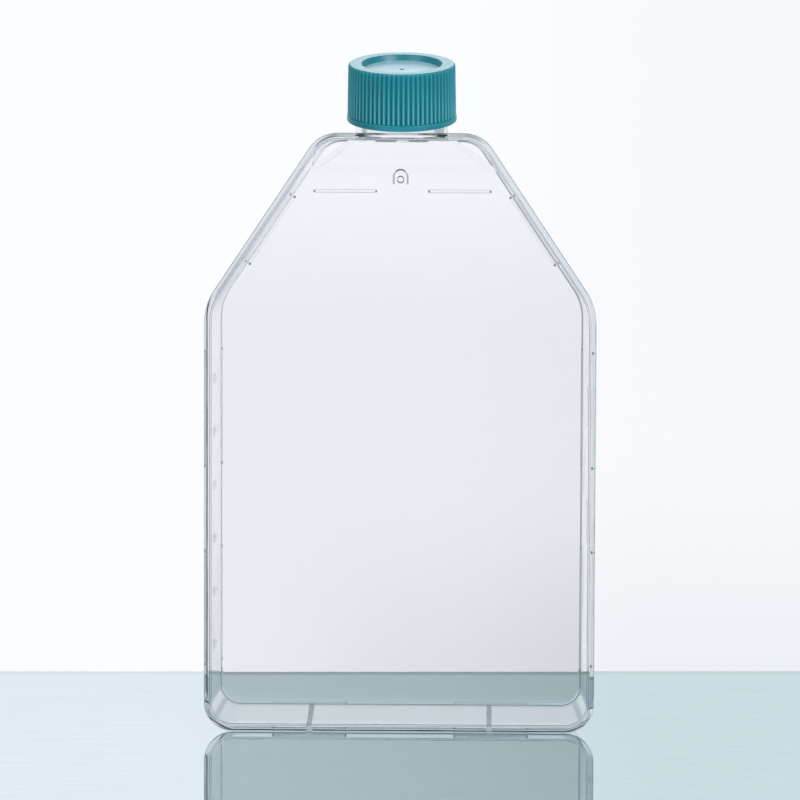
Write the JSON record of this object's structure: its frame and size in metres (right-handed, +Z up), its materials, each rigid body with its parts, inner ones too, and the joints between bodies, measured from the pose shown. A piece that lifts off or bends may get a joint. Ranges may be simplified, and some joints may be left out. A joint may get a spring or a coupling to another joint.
{
  "type": "cell culture flask",
  "caption": "Flat clear flask with sloped shoulders, a wide floor for growing cells and a canted neck closed by a ribbed screw cap.",
  "frame": {"origin": "on the standing plane, under the middle of the bounding box, with the flask standing on its bottom edge", "axes": "+X across the flask, +Y from the cover plate at the front to the growth floor at the back, +Z up through the neck"},
  "size_m": [0.132, 0.0418, 0.2302],
  "materials": {
    "clear_polystyrene": "gloss",
    "natural_polyethylene": "satin",
    "teal_polyethylene": "satin"
  },
  "bodies": {
    "flask": {"flask_tray": "clear_polystyrene", "cover_plate": "clear_polystyrene"},
    "plug_seal": {"plug_seal": "natural_polyethylene"},
    "screw_cap": {"screw_cap": "teal_polyethylene"}
  },
  "joints": [
    {"name": "cap_lift", "type": "slide", "parent": "flask", "child": "plug_seal", "axis": [0, -0.1908, 0.9816], "range_m": [0, 0.0421]},
    {"name": "cap_turn", "type": "hinge", "parent": "plug_seal", "child": "screw_cap", "pos_m": [0, 0.00125, 0.20277], "axis": [0, -0.1908, 0.9816], "range_deg": [0, 3600]}
  ],
  "couplings": [
    {"joint": "cap_lift", "follows": "cap_turn", "m_per_rad": 0.00066845}
  ]
}
